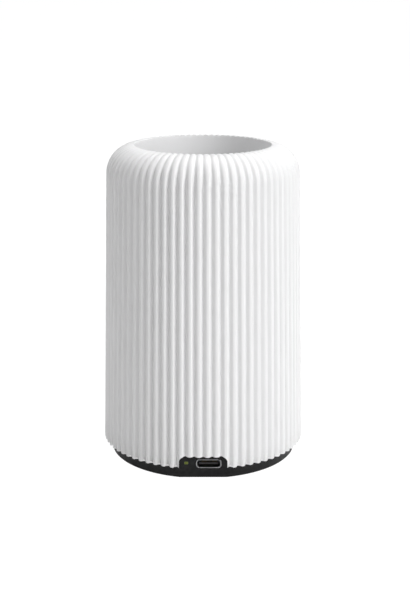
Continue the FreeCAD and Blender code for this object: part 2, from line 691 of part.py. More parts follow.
# ---------------------------------------------------------------- reset key
def reset_key():
    """The recessed key under the base, with the rod that reaches the switch."""
    cap = rod(KEY_CAP_R, 1.2, BASE_FLOOR_TOP_Z + FIT_GAP, KEY_X, KEY_Y)
    flange = rod(2.8, BASE_FLOOR_TOP_Z + FIT_GAP, BASE_FLOOR_TOP_Z + 0.85, KEY_X, KEY_Y)
    dish = Part.makeSphere(6.0, Vector(KEY_X, KEY_Y, 1.2 - 5.75))
    return cap.fuse([flange, rod(1.4, BASE_FLOOR_TOP_Z, KEY_TOP_Z, KEY_X, KEY_Y)]).cut(dish)


def switch_stem():
    """The moving stem of the reset switch."""
    return box(KEY_X - 0.8, KEY_X + 0.8, KEY_Y - 0.9, KEY_Y + 0.9, KEY_TOP_Z, KEY_TOP_Z + 2.0)


def switch_body():
    """The side-pressed switch on the main board."""
    body = box(KEY_X - 2.2, KEY_X + 2.2, KEY_Y - 1.7, MAIN_BOARD_FRONT_Y, KEY_TOP_Z + 1.0, KEY_TOP_Z + 4.0)
    travel_room = KEY_TOP_Z + 2.0 + KEY_TRAVEL + 0.1
    return body.cut(box(KEY_X - 0.9, KEY_X + 0.9, KEY_Y - 1.0, KEY_Y + 1.0, KEY_TOP_Z, travel_room))


# ---------------------------------------------------------------- all nodes
def main():
    """Builds every node and writes it."""
    os.makedirs("parts", exist_ok=True)
    save("outer_shell", outer_shell())
    save("air_well", air_well())
    save("vent_grille", vent_grille())
    save("base_tray", base_tray())
    save("rubber_foot", rubber_foot())
    save("shell_screws", *[case_screw(a, 22.0) for a in SHELL_POST_ANGLES])
    save("frame_screws", *[case_screw(a, 13.0) for a in FRAME_POST_ANGLES])
    save("port_shell", port_shell())
    save("port_insulator", port_insulator())
    save("port_contacts", *port_contacts())
    save("light_guide", light_guide())
    save("status_led", status_led())
    save("power_board", power_board())
    save("power_board_screws", *[board_screw(x, y) for x, y in BOARD_SCREWS])
    save("power_chip", power_chip())
    save("power_inductor", power_inductor())
    save("filter_capacitors", *filter_capacitors())
    save("board_socket", board_socket())
    save("main_board", main_board())
    save("main_processor", chip(0, CHIP_Z, 15, 15))
    save("radio_chip_low_band", chip(-12, CHIP_Z - 12, 9, 9))
    save("radio_chip_high_band", chip(12, CHIP_Z - 12, 9, 9))
    save("processor_pad", pad(0, CHIP_Z, 15, 15))
    save("radio_pads", pad(-12, CHIP_Z - 12, 9, 9), pad(12, CHIP_Z - 12, 9, 9))
    save("memory_chips", *memory_chips())
    save("shield_can_lower", shield_can(0, 41, 26, 18))
    save("shield_can_upper", shield_can(0, 62, 26, 16))
    save("heat_sink", heat_sink())
    save("heat_sink_screws", *[sink_screw(x, z) for x, z in SINK_SCREWS])
    save("inner_frame", inner_frame())
    for side, word in ((-1, "left"), (1, "right")):
        save("stamped_antenna_" + word, stamped_antenna(side))
        save("flex_antenna_" + word, flex_antenna(side))
        save("antenna_lead_" + word, antenna_lead(side))
        save("lead_plug_" + word, lead_plug(side))
        save("lead_socket_" + word, lead_socket(side))
    save("reset_key", reset_key())
    save("switch_stem", switch_stem())
    save("switch_body", switch_body())


main()
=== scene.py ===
"""A mesh Wi-Fi node: a white fluted tower with an open air well, on a black base with a power socket."""

import json
import logging
import math
from dataclasses import dataclass, field
from enum import Enum
from functools import partial

import bmesh
import bpy
from bpy.types import Material, Mesh, Node, NodeOutputs, NodeSocket, NodeTree, Object
from mathutils import Matrix, Vector

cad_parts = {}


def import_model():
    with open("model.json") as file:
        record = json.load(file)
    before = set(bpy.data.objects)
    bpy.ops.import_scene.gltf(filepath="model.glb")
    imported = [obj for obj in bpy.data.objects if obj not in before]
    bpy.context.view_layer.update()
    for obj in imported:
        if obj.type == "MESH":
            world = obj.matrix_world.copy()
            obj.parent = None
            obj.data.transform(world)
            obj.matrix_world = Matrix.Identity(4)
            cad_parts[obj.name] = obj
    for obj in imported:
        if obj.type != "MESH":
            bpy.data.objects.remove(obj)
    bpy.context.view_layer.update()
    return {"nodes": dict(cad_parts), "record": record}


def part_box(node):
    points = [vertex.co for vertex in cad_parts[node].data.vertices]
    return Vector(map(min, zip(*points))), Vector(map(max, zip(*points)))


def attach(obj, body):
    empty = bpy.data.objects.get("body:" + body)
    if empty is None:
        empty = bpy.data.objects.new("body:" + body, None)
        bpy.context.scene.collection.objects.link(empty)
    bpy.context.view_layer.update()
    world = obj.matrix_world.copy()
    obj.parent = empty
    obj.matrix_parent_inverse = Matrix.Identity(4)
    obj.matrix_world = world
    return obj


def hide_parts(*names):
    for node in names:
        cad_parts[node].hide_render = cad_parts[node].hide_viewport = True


LOG = logging.getLogger("mesh_node")
MM = 0.001
HOUSING = "housing"
KEY = "key"
Source = Node | NodeSocket
WHITE = (1, 1, 1, 1)
LIGHT_GREY = (0.8, 0.8, 0.8, 1)
SAME_PLACE = 1e-6
TOWER_MIDDLE = 0.06


class Slot(str, Enum):
    """The record's material slots."""

    SHELL = "shell_white"
    LINER = "liner_white"
    BASE = "base_black"
    FOOT = "foot_rubber"
    SOCKET_STEEL = "socket_steel"
    SOCKET_BLACK = "socket_black"
    GOLD = "gold"
    LIGHT = "light_green"
    LAMP = "lamp"
    BOARD = "board_green"
    CHIP = "chip_black"
    PAD = "pad_grey"
    TINNED = "tinned"
    SINK = "sink_metal"
    FRAME = "frame_grey"
    SCREW = "screw_steel"
    CAN = "can_metal"
    CHOKE = "choke_grey"
    FILM = "film_amber"
    LEAD = "lead_grey"
    KEY = "key_black"


class Grain(Enum):
    """How a finish's fine texture runs over the surface."""

    EVEN = (1.0, 1.0, 1.0)
    UPRIGHT = (1.0, 1.0, 0.05)
    ALONG_Y = (1.0, 0.05, 1.0)


# ---- node trees
def feed(tree: NodeTree, socket: NodeSocket, source: object) -> None:
    """Feeds an input socket.

    Args:
        tree: the tree.
        socket: the input.
        source: a node, whose first output is used, another socket, or a plain value.
    """
    if isinstance(source, Node):
        source = source.outputs[0]
    if isinstance(source, NodeSocket):
        tree.links.new(source, socket)
    else:
        socket.default_value = source


def add_node(tree: NodeTree, kind: str, links: dict | None = None, **values: object) -> Node:
    """Adds a node to a tree and feeds its inputs.

    Args:
        tree: the tree.
        kind: the node's full type name.
        links: input name or number to what feeds it.
        values: the node's properties.

    Returns:
        The new node.
    """
    node = tree.nodes.new(kind)
    for name, value in values.items():
        setattr(node, name, value)
    for key, source in (links or {}).items():
        feed(tree, node.inputs[key], source)
    return node


class NamedTree:
    """A node group whose inputs have names."""

    tree_type = "ShaderNodeTree"
    prefix = "ShaderNode"

    def __init__(self, name: str) -> None:
        """Makes the empty tree with its two ends.

        Args:
            name: the tree's name.
        """
        self.tree = bpy.data.node_groups.new(name, self.tree_type)
        self.entry = self.tree.nodes.new("NodeGroupInput")
        self.exit = self.tree.nodes.new("NodeGroupOutput")

    def takes(self, name: str, kind: str, value: object = None) -> NodeSocket:
        """Adds a named input.

        Args:
            name: the input's name.
            kind: Float, Int, Vector, Color or Material.
            value: the value it starts with.

        Returns:
            The socket that carries it inside the tree.
        """
        socket = self.tree.interface.new_socket(name, in_out="INPUT", socket_type="NodeSocket" + kind)
        if value is not None:
            socket.default_value = value
        return self.entry.outputs[name]

    def add(self, kind: str, links: dict | None = None, **values: object) -> Node:
        """Adds a node, named without the prefix of the tree's own nodes."""
        return add_node(self.tree, self.prefix + kind, links, **values)

    def math(self, operation: str, *terms: object) -> Node:
        """Adds a sum of sockets or numbers and gives it."""
        return add_node(self.tree, "ShaderNodeMath", dict(enumerate(terms)), operation=operation)


class ShaderGroup(NamedTree):
    """A shader node group with named inputs and outputs."""

    def gives(self, name: str, kind: str, source: Source) -> None:
        """Adds a named output that the source feeds."""
        self.tree.interface.new_socket(name, in_out="OUTPUT", socket_type="NodeSocket" + kind)
        feed(self.tree, self.exit.inputs[name], source)

    def mix(self, factor: object, low: object, high: object, blend: str = "MIX") -> NodeSocket:
        """Mixes two colours and gives the result's socket."""
        return self.add("Mix", {0: factor, 6: low, 7: high}, data_type="RGBA", blend_type=blend).outputs[2]

    def noise(self, place: Source, scale: object, detail: float) -> Node:
        """Adds soft noise that is scale features to the metre."""
        return self.add("TexNoise", {"Vector": place, "Scale": scale, "Detail": detail})

    def spread(self, value: Source, low: float, high: float) -> Node:
        """Stretches the values between low and high to the whole range from 0 to 1."""
        return self.add("MapRange", {0: value, 1: low, 2: high, 3: 0.0, 4: 1.0})


class Effects:
    """The surface effects that the finishes share. Texture scales are in features per metre."""

    broad_patches = 38.0
    fine_patches = 420.0
    dust_patches = 240.0
    edge_breaks = 900.0
    dust_colour = (0.42, 0.41, 0.39, 1)
    shade = (0.72, 0.72, 0.72, 1)

    def __init__(self) -> None:
        """Builds each group once."""
        self.grain = self._grain()
        self.handling = self._handling()
        self.settled_dust = self._settled_dust()
        self.rubbed = self._rubbed()

    def _grain(self) -> NodeTree:
        """Fine tooth of a mould or a drawn metal: a height and a small change of colour."""
        g = ShaderGroup("surface_grain")
        place, colour = g.takes("Place", "Vector"), g.takes("Colour", "Color", LIGHT_GREY)
        size, tint = g.takes("Size", "Float", 0.0004), g.takes("Tint", "Float", 0.05)
        scale = g.math("DIVIDE", 1.0, size)
        fine = g.add("TexNoise", {"Vector": place, "Scale": scale, "Detail": 3.0, "Roughness": 0.6})
        pits = g.add("TexVoronoi", {"Vector": place, "Scale": scale}).outputs["Distance"]
        darker = g.mix(1.0, colour, self.shade, "MULTIPLY")
        g.gives("Colour", "Color", g.mix(g.math("MULTIPLY", fine, tint), colour, darker))
        g.gives("Height", "Float", g.math("ADD", fine, pits))
        return g.tree

    def _handling(self) -> NodeTree:
        """Broad patches where hands have polished or greased a surface: a roughness."""
        g = ShaderGroup("handling_marks")
        place = g.takes("Place", "Vector")
        roughness, spread = g.takes("Roughness", "Float", 0.4), g.takes("Spread", "Float", 0.08)
        both = g.math("ADD", g.noise(place, self.broad_patches, 2.0), g.noise(place, self.fine_patches, 1.0))
        centred = g.math("SUBTRACT", both, 1.0)
        g.gives("Roughness", "Float", g.math("MULTIPLY_ADD", centred, spread, roughness))
        return g.tree

    def _settled_dust(self) -> NodeTree:
        """Thin dust on faces that look up: a colour."""
        g = ShaderGroup("settled_dust")
        place, colour = g.takes("Place", "Vector"), g.takes("Colour", "Color", LIGHT_GREY)
        dust, amount = g.takes("Dust Colour", "Color", self.dust_colour), g.takes("Amount", "Float", 0.1)
        facing = g.add("SeparateXYZ", {0: g.add("NewGeometry").outputs["Normal"]}).outputs[2]
        patches = g.noise(place, self.dust_patches, 5.0)
        where = g.math("MULTIPLY", g.spread(facing, 0.6, 1.0), g.spread(patches, 0.42, 0.68))
        g.gives("Colour", "Color", g.mix(g.math("MULTIPLY", where, amount), colour, dust))
        return g.tree

    def _rubbed(self) -> NodeTree:
        """Rubbing along marked edges, broken up by noise: a colour."""
        g = ShaderGroup("rubbed_edges")
        place, edge = g.takes("Place", "Vector"), g.takes("Edge", "Float", 0.0)
        colour, worn = g.takes("Colour", "Color", LIGHT_GREY), g.takes("Rubbed Colour", "Color", LIGHT_GREY)
        amount = g.takes("Amount", "Float", 0.3)
        broken = g.noise(place, self.edge_breaks, 4.0)
        where = g.math("MULTIPLY", g.spread(broken, 0.38, 0.62), edge)
        g.gives("Colour", "Color", g.mix(g.math("MULTIPLY", where, amount), colour, worn))
        return g.tree


# ---- finishes
@dataclass(frozen=True)
class Finish:
    """A surface finish: its colour, its gloss and the fine detail that the effects add."""

    slot: Slot
    colour: tuple[float, float, float]
    roughness: float
    metallic: float = 0.0
    specular: float = 0.5
    coat: float = 0.0
    coat_roughness: float = 0.1
    spread: float = 0.06
    grain_size: float = 0.2
    grain_depth: float = 0.001
    grain: Grain = Grain.EVEN
    tint: float = 0.3
    dust: float = 0.0
    rubbed: float = 0.0
    rubbed_colour: tuple[float, float, float] = (0.9, 0.9, 0.9)
    glow: float = 0.0

    def build(self, effects: Effects) -> Material:
        """Makes the material.

        Args:
            effects: the shared node groups.

        Returns:
            The material, named after the slot.
        """
        material = bpy.data.materials.new(self.slot.value)
        material.use_nodes = True
        tree = material.node_tree
        tree.nodes.clear()
        add = partial(add_node, tree)
        place = add("ShaderNodeTexCoord").outputs["Object"]
        stretched = add("ShaderNodeVectorMath", {0: place, 1: self.grain.value}, operation="MULTIPLY")
        grain = add("ShaderNodeGroup", {
            "Place": stretched, "Colour": (*self.colour, 1), "Size": self.grain_size * MM, "Tint": self.tint},
            node_tree=effects.grain)
        colour = grain.outputs["Colour"]
        if self.rubbed:
            edge = add("ShaderNodeAttribute", attribute_name="edge")
            colour = add("ShaderNodeGroup", {
                "Place": place, "Edge": edge.outputs["Fac"], "Colour": colour,
                "Rubbed Colour": (*self.rubbed_colour, 1), "Amount": self.rubbed}, node_tree=effects.rubbed)
        if self.dust:
            colour = add("ShaderNodeGroup", {"Place": place, "Colour": colour, "Amount": self.dust},
                         node_tree=effects.settled_dust)
        marks = add("ShaderNodeGroup", {"Place": place, "Roughness": self.roughness, "Spread": self.spread},
                    node_tree=effects.handling)
        bump = add("ShaderNodeBump", {"Height": grain.outputs["Height"], "Strength": 1.0,
                                      "Distance": self.grain_depth * MM})
        shader = add("ShaderNodeBsdfPrincipled", {
            "Base Color": colour, "Roughness": marks, "Normal": bump, "Metallic": self.metallic,
            "Specular IOR Level": self.specular, "Coat Weight": self.coat, "Coat Roughness": self.coat_roughness})
        if self.glow:
            feed(tree, shader.inputs["Emission Color"], colour)
            shader.inputs["Emission Strength"].default_value = self.glow
        add("ShaderNodeOutputMaterial", {"Surface": shader})
        return material


FINISHES = (
    Finish(Slot.SHELL, (0.80, 0.80, 0.805), 0.42, specular=0.35, grain_depth=0.0007, tint=0.03, rubbed=0.25,
           rubbed_colour=(0.60, 0.595, 0.58), spread=0.05),
    Finish(Slot.LINER, (0.80, 0.80, 0.805), 0.5, specular=0.35, grain_size=0.3, grain_depth=0.003, tint=0.04,
           dust=0.10),
    Finish(Slot.BASE, (0.0065, 0.0065, 0.007), 0.36, specular=0.24, grain_depth=0.0012, tint=0.25, rubbed=0.35,
           rubbed_colour=(0.022, 0.022, 0.023)),
    Finish(Slot.FOOT, (0.035, 0.035, 0.036), 0.75, specular=0.3, grain_size=0.5, grain_depth=0.012, tint=0.5),
    Finish(Slot.SOCKET_STEEL, (0.66, 0.66, 0.67), 0.28, metallic=1.0, grain_size=0.12, grain_depth=0.0012,
           grain=Grain.ALONG_Y, tint=0.2),
    Finish(Slot.SOCKET_BLACK, (0.010, 0.010, 0.011), 0.35, grain_size=0.15),
    Finish(Slot.GOLD, (0.42, 0.29, 0.12), 0.30, metallic=1.0, grain_size=0.08, grain_depth=0.0008,
           grain=Grain.ALONG_Y, tint=0.2),
    Finish(Slot.LIGHT, (0.11, 0.14, 0.006), 0.22, coat=0.4, grain_size=0.25, grain_depth=0.0008, tint=0.35,
           glow=0.12),
    Finish(Slot.LAMP, (0.78, 0.74, 0.42), 0.3, tint=0.2),
    Finish(Slot.BOARD, (0.016, 0.10, 0.042), 0.32, coat=0.35, grain_size=0.6, grain_depth=0.004, tint=0.45,
           dust=0.2),
    Finish(Slot.CHIP, (0.022, 0.022, 0.023), 0.55, grain_size=0.12, grain_depth=0.0035, tint=0.4, dust=0.1),
    Finish(Slot.PAD, (0.34, 0.42, 0.53), 0.7, grain_size=0.35, grain_depth=0.008),
    Finish(Slot.TINNED, (0.67, 0.665, 0.64), 0.33, metallic=1.0, grain_size=0.7, grain_depth=0.003),
    Finish(Slot.SINK, (0.60, 0.605, 0.615), 0.38, metallic=1.0, grain_size=0.15, grain_depth=0.003,
           grain=Grain.UPRIGHT, dust=0.25),
    Finish(Slot.FRAME, (0.15, 0.15, 0.155), 0.55, grain_size=0.4, grain_depth=0.006, dust=0.2),
    Finish(Slot.SCREW, (0.30, 0.30, 0.31), 0.42, metallic=1.0, grain_size=0.12, grain_depth=0.0015),
    Finish(Slot.CAN, (0.74, 0.74, 0.75), 0.26, metallic=1.0, grain=Grain.UPRIGHT, tint=0.2),
    Finish(Slot.CHOKE, (0.10, 0.10, 0.105), 0.65, grain_size=0.18, grain_depth=0.008, tint=0.5),
    Finish(Slot.FILM, (0.30, 0.12, 0.022), 0.3, coat=0.5, grain_size=0.5, grain_depth=0.002, tint=0.4),
    Finish(Slot.LEAD, (0.22, 0.22, 0.23), 0.4, grain_size=0.25, grain_depth=0.002, tint=0.25),
    Finish(Slot.KEY, (0.045, 0.045, 0.046), 0.5, grain_depth=0.004, tint=0.4),
)


class Palette:
    """Every finish as a material, and the handing over of pieces that wear one."""

    def __init__(self) -> None:
        """Builds the materials."""
        effects = Effects()
        self.materials = {finish.slot: finish.build(effects) for finish in FINISHES}

    def dress(self, piece: Object, slot: Slot) -> None:
        """Gives a piece one finish all over.

        Args:
            piece: the object.
            slot: the finish's slot.
        """
        if not piece.data.materials:
            piece.data.materials.append(self.materials[slot])
        for place in piece.material_slots:
            place.material = self.materials[slot]

    def settle(self, piece: Object, slot: Slot, node: str, body: str = HOUSING) -> None:
        """Dresses a finished piece and hands it to the frame.

        Args:
            piece: the object, at the origin.
            slot: the record's slot it takes its finish from.
            node: the frame's node that it stands for.
            body: the body it moves with.
        """
        self.dress(piece, slot)
        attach(piece, body)
        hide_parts(node)
        LOG.info("%s: %d faces, on %s, for %s", piece.name, len(piece.data.polygons), body, node)


# ---- meshes
def new_object(name: str, mesh: Mesh) -> Object:
    """Links a new object at the origin.

    Args:
        name: its name.
        mesh: its mesh.

    Returns:
        The object.
    """
    piece = bpy.data.objects.new(name, mesh)
    bpy.context.scene.collection.objects.link(piece)
    return piece


def baked(host: Object, name: str) -> Object:
    """Turns what an object's modifiers make into a plain mesh on a new object.

    Args:
        host: the object with the modifiers, which is removed.
        name: the new object's name.

    Returns:
        The new object.
    """
    bpy.context.view_layer.update()
    ready = host.evaluated_get(bpy.context.evaluated_depsgraph_get())
    mesh = bpy.data.meshes.new_from_object(ready)
    mesh.name = name
    if not mesh.polygons:
        raise RuntimeError(f"{name} came out with no faces")
    host.modifiers.clear()
    bpy.data.objects.remove(host)
    return new_object(name, mesh)


def face_outwards(mesh: Mesh) -> None:
    """Merges doubles and points every face of a closed mesh outwards.

    Args:
        mesh: the mesh, changed in place.
    """
    work = bmesh.new()
    work.from_mesh(mesh)
    bmesh.ops.remove_doubles(work, verts=work.verts, dist=1e-7)
    loose = [edge for edge in work.edges if not edge.link_faces]
    bmesh.ops.delete(work, geom=loose, context="EDGES")
    bmesh.ops.recalc_face_normals(work, faces=work.faces)
    if work.calc_volume(signed=True) < 0:
        bmesh.ops.reverse_faces(work, faces=work.faces)
    work.to_mesh(mesh)
    work.free()


def softened(piece: Object, width: float) -> Object:
    """Rounds a closed piece's edges and marks them, so that they catch the light and show rubbing.

    Args:
        piece: the piece, which is replaced.
        width: how far the rounding reaches, in millimetres.

    Returns:
        The finished piece, whose flat faces are shaded flat up to the rounding.
    """
    flat, rounded, crisp = math.radians(0.4), math.radians(35), math.radians(50)
    work = bmesh.new()
    work.from_mesh(piece.data)
    bmesh.ops.remove_doubles(work, verts=work.verts, dist=2 * SAME_PLACE)
    bmesh.ops.dissolve_limit(work, angle_limit=flat, verts=work.verts, edges=work.edges)
    bmesh.ops.recalc_face_normals(work, faces=work.faces)
    edge_mark = work.verts.layers.float.get("edge") or work.verts.layers.float.new("edge")
    turned = [e for e in work.edges if e.is_manifold and e.calc_face_angle(0.0) > rounded]
    made = bmesh.ops.bevel(work, geom=turned, offset=width * MM, offset_type="OFFSET", segments=2, profile=0.5,
                           affect="EDGES", clamp_overlap=True)
    for vert in made["verts"]:
        vert[edge_mark] = 1.0
    for face in work.faces:
        face.smooth = True
    for edge in work.edges:
        edge.smooth = edge.calc_face_angle(0.0) < crisp
    work.to_mesh(piece.data)
    work.free()
    name = piece.name
    weighted = piece.modifiers.new("weighted", "WEIGHTED_NORMAL")
    weighted.weight = 100
    weighted.keep_sharp = True
    piece.name = name + "_start"
    return baked(piece, name)


def softened_copy(node: Object, name: str, width: float) -> Object:
    """Copies a CAD node's shape and rounds the copy's edges by a width in millimetres."""
    return softened(new_object(name, node.data.copy()), width)


# ---- geometry node trees
class GeometryTree(NamedTree):
    """A geometry node tree that makes or changes a mesh."""

    tree_type = "GeometryNodeTree"
    prefix = "GeometryNode"

    def __init__(self, name: str) -> None:
        """Makes the tree with a geometry input and output.

        Args:
            name: the tree's name.
        """
        super().__init__(name)
        for end in ("INPUT", "OUTPUT"):
            self.tree.interface.new_socket("Geometry", in_out=end, socket_type="NodeSocketGeometry")
        self.given = self.entry.outputs[0]

    def lengths(self, *names: str) -> list[NodeSocket]:
        """Adds one number input for each name."""
        return [self.takes(name, "Float") for name in names]

    def vector(self, x: object, y: object, z: object) -> Node:
        """Joins three numbers to a vector."""
        return add_node(self.tree, "ShaderNodeCombineXYZ", {0: x, 1: y, 2: z})

    def parts(self, vector: Source) -> NodeOutputs:
        """Splits a vector to its three numbers."""
        return add_node(self.tree, "ShaderNodeSeparateXYZ", {0: vector}).outputs

    def prism(self, width: object, height: object, corner: object, depth: object) -> Node:
        """A closed block with a rounded rectangle as its foot, standing on the plane of X and Y.

        Args:
            width: its size along X.
            height: its size along Y.
            corner: radius of the outline's corners.
            depth: its size along Z.

        Returns:
            The block.
        """
        outline = self.add("CurvePrimitiveQuadrilateral", {"Width": width, "Height": height})
        soft = self.add("FilletCurve", {"Curve": outline, "Radius": corner, "Count": 10}, mode="POLY")
        flat = self.add("FillCurve", {0: soft}, mode="NGONS")
        block = self.add("ExtrudeMesh", {0: flat, "Offset Scale": depth})
        back = self.add("FlipFaces", {0: flat})
        joined = self.joined(block, back)
        return self.merged(joined)

    def merged(self, mesh: Source) -> Node:
        """Merges points that lie in the same place."""
        return self.add("MergeByDistance", {0: mesh, "Distance": SAME_PLACE})

    def joined(self, *parts: Source) -> Node:
        """Joins geometry.

        Args:
            parts: the pieces.

        Returns:
            All of them together.
        """
        node = self.add("JoinGeometry")
        for part in parts:
            feed(self.tree, node.inputs[0], part)
        return node

    def around(self, piece: Source, count: object) -> Node:
        """Repeats a piece evenly round the Z axis.

        Args:
            piece: the piece, already at its distance from the axis.
            count: how many.

        Returns:
            The instances.
        """
        spots = self.add("Points", {"Count": count})
        step = self.math("DIVIDE", math.tau, count)
        turn = self.vector(0.0, 0.0, self.math("MULTIPLY", self.add("InputIndex"), step))
        return self.add("InstanceOnPoints", {0: spots, "Instance": piece, "Rotation": turn})

    def moved(self, piece: Source, offset: object, turn: tuple = (0, 0, 0)) -> Node:
        """Turns and then moves a piece."""
        return self.add("Transform", {0: piece, "Translation": offset, "Rotation": turn})

    def cut(self, body: Source, *tools: Source) -> Node:
        """Cuts tools out of a body.

        Args:
            body: what is cut.
            tools: closed pieces to cut away.

        Returns:
            What is left.
        """
        node = self.add("MeshBoolean", {0: body}, operation="DIFFERENCE", solver="EXACT")
        for tool in tools:
            feed(self.tree, node.inputs[1], tool)
        return node

    def finish(self, geometry: Source) -> None:
        """Ends the tree: real geometry, shading that keeps sharp edges crisp, and the material.

        Args:
            geometry: what the tree has made.
        """
        sharp = math.radians(32)
        real = self.add("RealizeInstances", {0: geometry})
        smooth = self.add("SetShadeSmooth", {0: real, "Shade Smooth": True}, domain="FACE")
        turn = self.add("InputMeshEdgeAngle")
        crisp = self.math("GREATER_THAN", turn, sharp)
        edges = self.add("SetShadeSmooth", {0: smooth, "Selection": crisp, "Shade Smooth": False}, domain="EDGE")
        last = self.add("SetMaterial", {0: edges, "Material": self.takes("Material", "Material")})
        feed(self.tree, self.exit.inputs[0], last)

    def run(self, host: Object, name: str, material: Material, sizes: dict[str, float],
            others: dict | None = None) -> Object:
        """Puts the tree on an object, sets its inputs and keeps the result as a plain mesh.

        Args:
            host: the object whose mesh goes in.
            name: the finished piece's name.
            material: what the piece is made of.
            sizes: input name to length in millimetres.
            others: input name to any other value.

        Returns:
            The finished piece.
        """
        inputs = {"Material": material, **{key: size * MM for key, size in sizes.items()}, **(others or {})}
        modifier = host.modifiers.new(self.tree.name, "NODES")
        modifier.node_group = self.tree
        for item in self.tree.interface.items_tree:
            if item.in_out == "INPUT" and item.name in inputs:
                modifier[item.identifier] = inputs[item.name]
        return baked(host, name)


def turning_tree() -> GeometryTree:
    """A lathe: turns a closed profile round the axis and presses flutes into it.

    Returns:
        The tree. Its mesh input is the profile's points in order, with
        the attributes "outward", "flute" and "rub".
    """
    t = GeometryTree("turned_part")
    columns = t.takes("Columns", "Int")
    flutes = t.takes("Flute Count", "Int")
    depth = t.takes("Flute Depth", "Float")
    narrow = t.takes("Flute Narrowness", "Float")
    points = t.add("AttributeDomainSize", {0: t.given}, component="MESH")
    rows = t.math("ADD", points, 1)
    across = t.math("ADD", columns, 1)
    grid = t.add("MeshGrid", {"Size X": 1.0, "Size Y": 1.0, "Vertices X": rows, "Vertices Y": across})
    index = t.add("InputIndex")
    row = t.math("MODULO", t.math("FLOOR", t.math("DIVIDE", t.math("ADD", index, 0.5), across)), points)
    column = t.math("FLOORED_MODULO", index, across)
    angle = t.math("MULTIPLY", t.math("DIVIDE", column, columns), math.tau)
    samples = {}
    for name, kind in (("place", "FLOAT_VECTOR"), ("outward", "FLOAT_VECTOR"), ("flute", "FLOAT"), ("rub", "FLOAT")):
        source = t.add("InputPosition") if name == "place" else t.add(
            "InputNamedAttribute", {0: name}, data_type=kind)
        samples[name] = t.add("SampleIndex", {0: t.given, 1: source, "Index": row}, data_type=kind)
    wave = t.math("COSINE", t.math("MULTIPLY", angle, flutes))
    hollow = t.math("POWER", t.math("MULTIPLY_ADD", wave, 0.5, 0.5), narrow)
    inwards = t.math("MULTIPLY", t.math("MULTIPLY", hollow, depth), samples["flute"])
    place, outward = t.parts(samples["place"]), t.parts(samples["outward"])
    radius = t.math("SUBTRACT", place[0], t.math("MULTIPLY", inwards, outward[0]))
    height = t.math("SUBTRACT", place[2], t.math("MULTIPLY", inwards, outward[2]))
    where = t.vector(t.math("MULTIPLY", radius, t.math("SINE", angle)),
                     t.math("MULTIPLY", t.math("MULTIPLY", radius, t.math("COSINE", angle)), -1.0), height)
    moved = t.add("SetPosition", {0: grid, "Position": where})
    marked = t.add("StoreNamedAttribute", {0: moved, "Name": "edge", "Value": samples["rub"]},
                   data_type="FLOAT", domain="POINT")
    t.finish(t.merged(marked))
    return t


@dataclass
class Profile:
    """A closed outline in the half-plane of radius and height, in millimetres, for turning."""

    rows: list[tuple] = field(default_factory=list)

    def point(self, r: float, z: float, flute: float = 0.0, outward: tuple[float, float] = (1, 0),
              rub: float = 0.0) -> None:
        """Adds one point.

        Args:
            r: radius.
            z: height.
            flute: how deep the flutes go here, from 0 to 1.
            outward: the direction that the flutes are pressed against.
            rub: how much this place is rubbed, from 0 to 1.
        """
        self.rows.append((r, z, outward, flute, rub))

    def run(self, start: tuple[float, float], end: tuple[float, float], steps: int, ends: bool = True,
            **marks: object) -> None:
        """Adds evenly spaced points along a straight.

        Args:
            start: first end.
            end: last end.
            steps: number of stretches.
            ends: whether the two ends are added too.
            marks: what each point carries.
        """
        for i in range(0 if ends else 1, steps + 1 if ends else steps):
            s = i / steps
            self.point(start[0] + (end[0] - start[0]) * s, start[1] + (end[1] - start[1]) * s, **marks)

    def arc(self, centre: tuple[float, float], radius: float, first: float, last: float, steps: int,
            flutes: tuple[float, float] = (0.0, 0.0), rub: float = 0.0,
            push: tuple[float, float] | None = None, ease: float = 1.0) -> None:
        """Adds points along an arc, both ends included.

        Args:
            centre: the arc's centre.
            radius: its radius.
            first: first elevation in degrees.
            last: last elevation in degrees.
            steps: number of stretches.
            flutes: flute depth at the two ends.
            rub: how much the arc is rubbed.
            push: the direction that flutes are pressed against, if not along each ray.
            ease: over 1, the flute depth changes mostly near the start.
        """
        for i in range(steps + 1):
            s = i / steps
            a = math.radians(first + (last - first) * s)
            ray = (math.cos(a), math.sin(a))
            self.point(centre[0] + radius * ray[0], centre[1] + radius * ray[1],
                       flutes[0] + (flutes[1] - flutes[0]) * (1 - (1 - s) ** ease), push or ray, rub)

    def turned(self, lathe: GeometryTree, name: str, material: Material, columns: int = 240,
               flutes: int = 1, depth: float = 0.0, narrowness: float = 1.0) -> Object:
        """Turns the outline to a closed piece.

        Args:
            lathe: the turning tree.
            name: the piece's name.
            material: what it is made of.
            columns: facets round the axis.
            flutes: number of flutes.
            depth: the flutes' depth in millimetres.
            narrowness: over 1, the flutes are narrower than the ribs between them.

        Returns:
            The piece, whose faces point outwards.
        """
        mesh = bpy.data.meshes.new(name + "_profile")
        mesh.from_pydata([(r * MM, 0, z * MM) for r, z, *_ in self.rows], [], [])
        directions = [part for row in self.rows for part in (row[2][0], 0, row[2][1])]
        mesh.attributes.new("outward", "FLOAT_VECTOR", "POINT").data.foreach_set("vector", directions)
        for mark, column in (("flute", 3), ("rub", 4)):
            mesh.attributes.new(mark, "FLOAT", "POINT").data.foreach_set("value", [row[column] for row in self.rows])
        piece = lathe.run(new_object(name + "_profile", mesh), name, material, {"Flute Depth": depth}, {
            "Columns": columns, "Flute Count": flutes, "Flute Narrowness": narrowness})
        face_outwards(piece.data)
        return piece


def notch_tree() -> GeometryTree:
    """Cuts an opening with round upper corners through the front of a shell.

    Returns:
        The tree. Its mesh input is the shell.
    """
    t = GeometryTree("notched_shell")
    width, top, corner, reach = t.lengths("Notch Width", "Notch Top", "Corner Radius", "Front")
    height, depth = 0.03, 0.02
    block = t.prism(width, height, corner, depth)
    place = t.vector(0.0, reach, t.math("SUBTRACT", top, height / 2))
    stood = t.moved(block, place, (math.pi / 2, 0, 0))
    t.finish(t.cut(t.given, stood))
    return t


